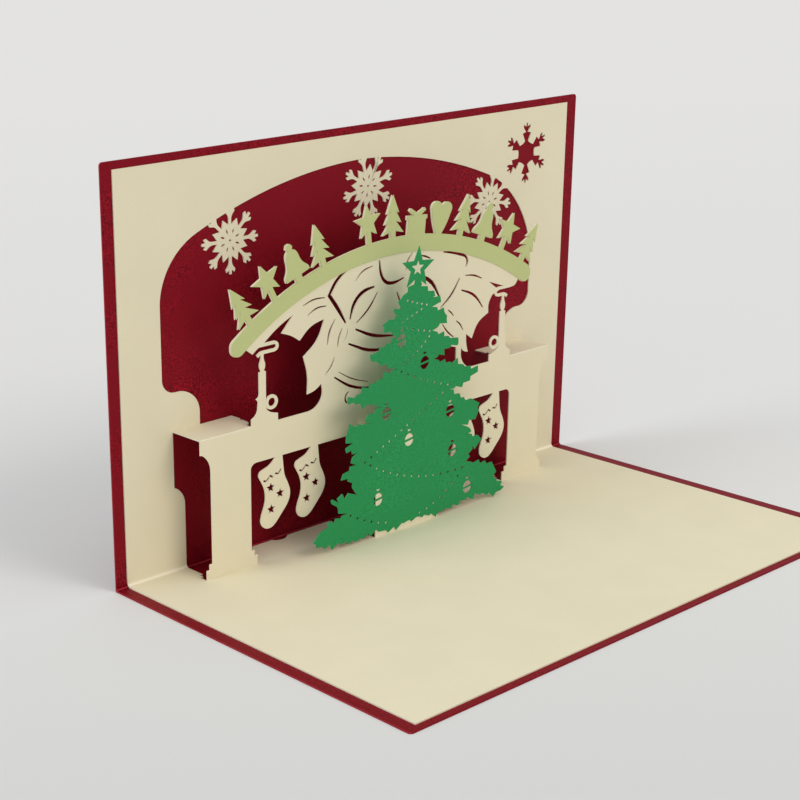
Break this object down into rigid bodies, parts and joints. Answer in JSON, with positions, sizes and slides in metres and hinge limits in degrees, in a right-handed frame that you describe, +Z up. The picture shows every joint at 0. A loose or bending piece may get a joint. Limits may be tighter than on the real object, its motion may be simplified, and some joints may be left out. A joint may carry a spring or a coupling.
{
  "type": "pop up card",
  "caption": "Folded greeting card that stands open, with a cut paper fireplace, bow arch and fir tree popping up from its fold.",
  "frame": {"origin": "middle of the base panel's underside, on the surface the card stands on", "axes": "+X along the fold to the right as the card is read, +Y from the front edge towards the fold, +Z up"},
  "size_m": [0.15, 0.1, 0.0998],
  "materials": {
    "cover_card": "satin pearl",
    "sheet_paper": "matte",
    "banner_paper": "matte",
    "tree_paper": "matte"
  },
  "bodies": {
    "root": {"cover": "cover_card", "inner_sheet": "sheet_paper", "arch_banner": "banner_paper", "tree": "tree_paper"}
  },
  "joints": []
}
